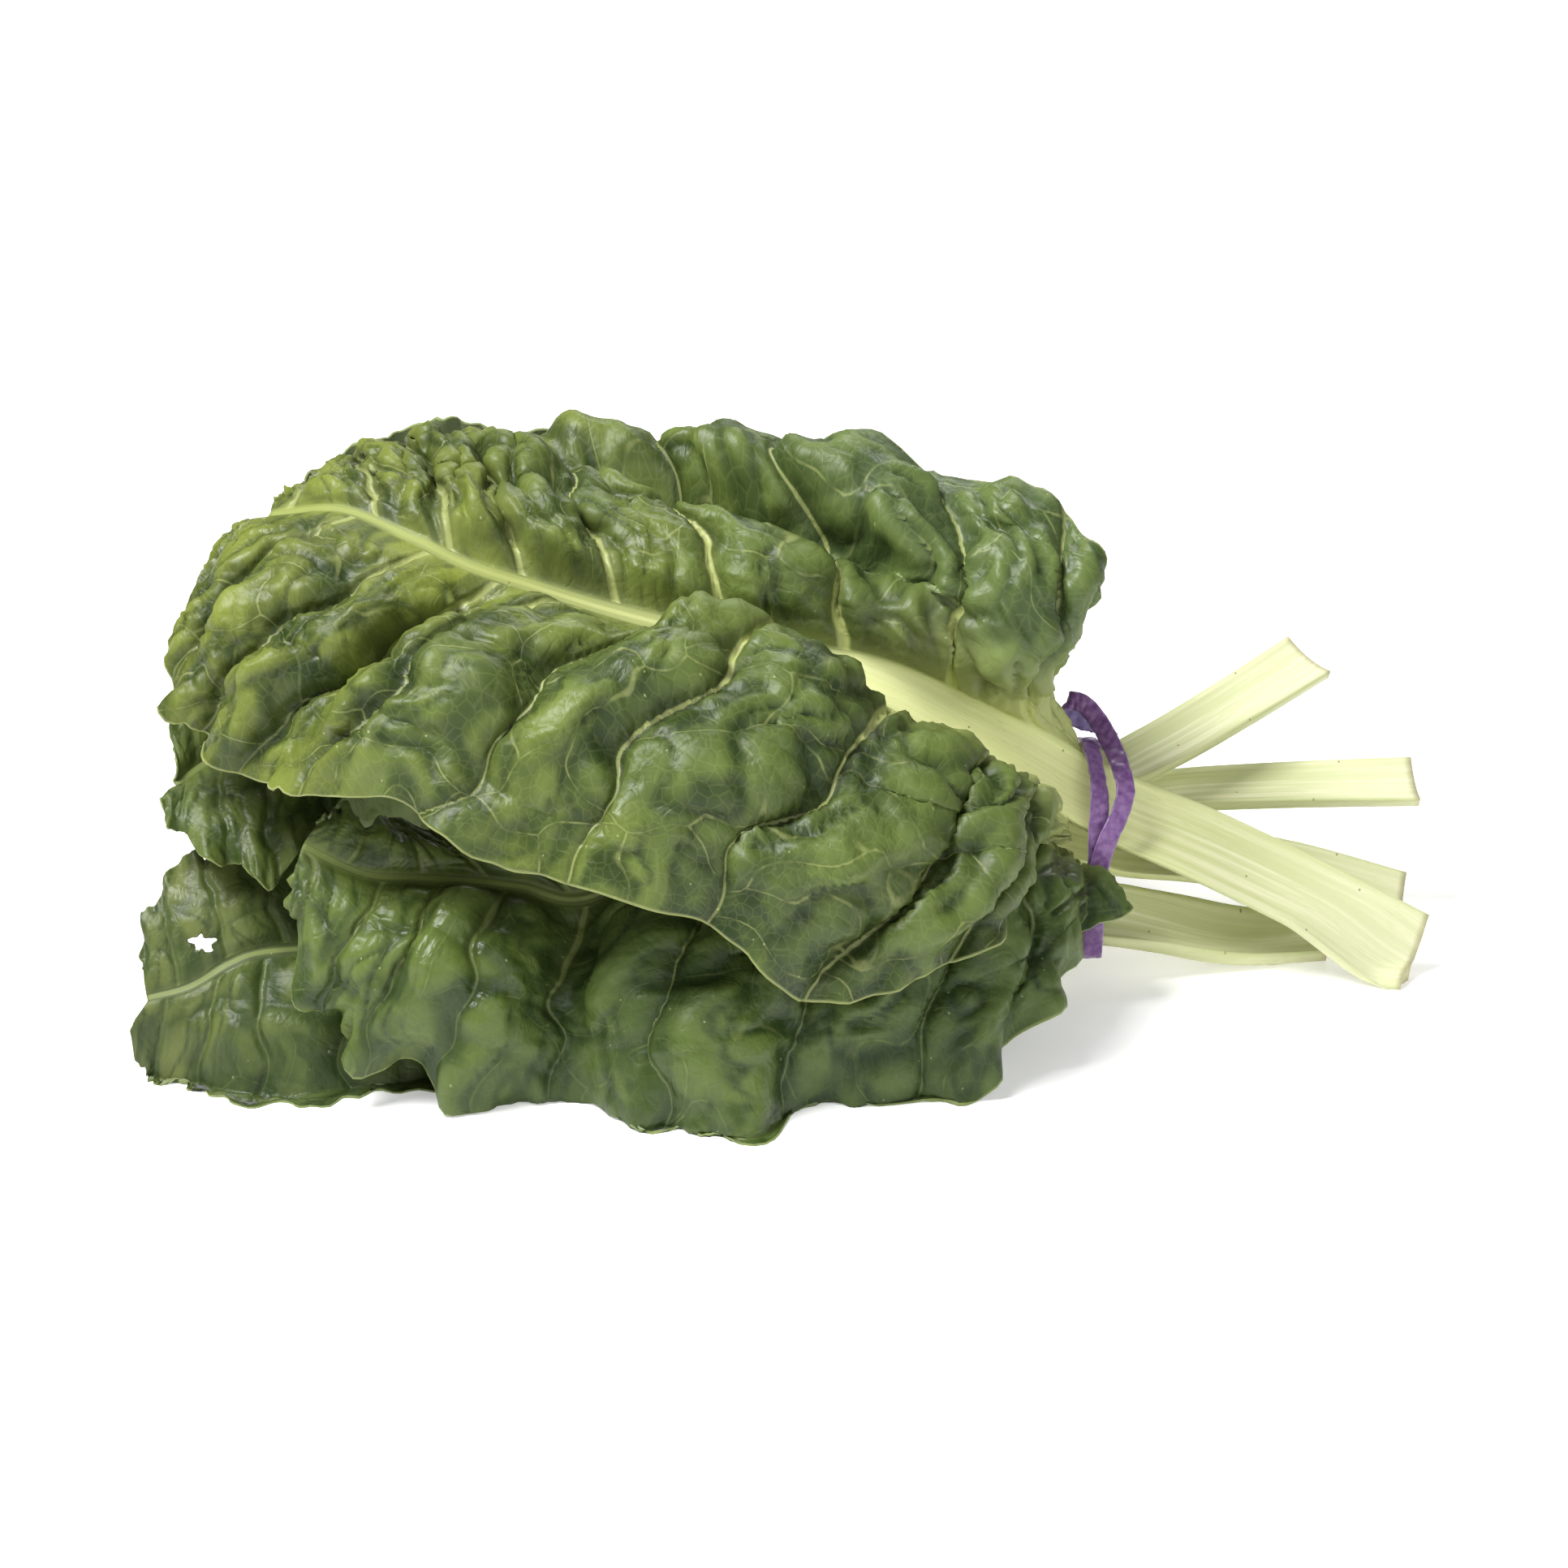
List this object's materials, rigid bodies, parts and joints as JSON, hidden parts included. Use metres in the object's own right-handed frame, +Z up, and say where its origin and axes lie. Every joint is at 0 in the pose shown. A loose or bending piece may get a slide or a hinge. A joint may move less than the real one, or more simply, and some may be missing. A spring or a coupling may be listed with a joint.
{
  "type": "chard bunch",
  "caption": "Bunch of fresh chard lying on its side: crinkled dark green leaves with pale stalks, held by a narrow flat tie.",
  "frame": {"origin": "on the table, under the middle of the bunch's bounding box", "axes": "+X along the bunch to the cut stalk ends, +Y to its back, +Z up"},
  "size_m": [0.4009, 0.2202, 0.1744],
  "materials": {
    "top_leaf": "waxy, semi-gloss leaf",
    "front_leaf": "waxy, semi-gloss leaf",
    "side_leaf": "waxy, semi-gloss leaf",
    "low_leaf": "waxy, semi-gloss leaf",
    "back_leaf": "waxy, semi-gloss leaf",
    "tie": "satin flat band"
  },
  "bodies": {
    "root": {"top_leaf": "top_leaf", "front_leaf": "front_leaf", "side_leaf": "side_leaf", "low_leaf": "low_leaf", "back_leaf": "back_leaf", "tie": "tie"}
  },
  "joints": []
}
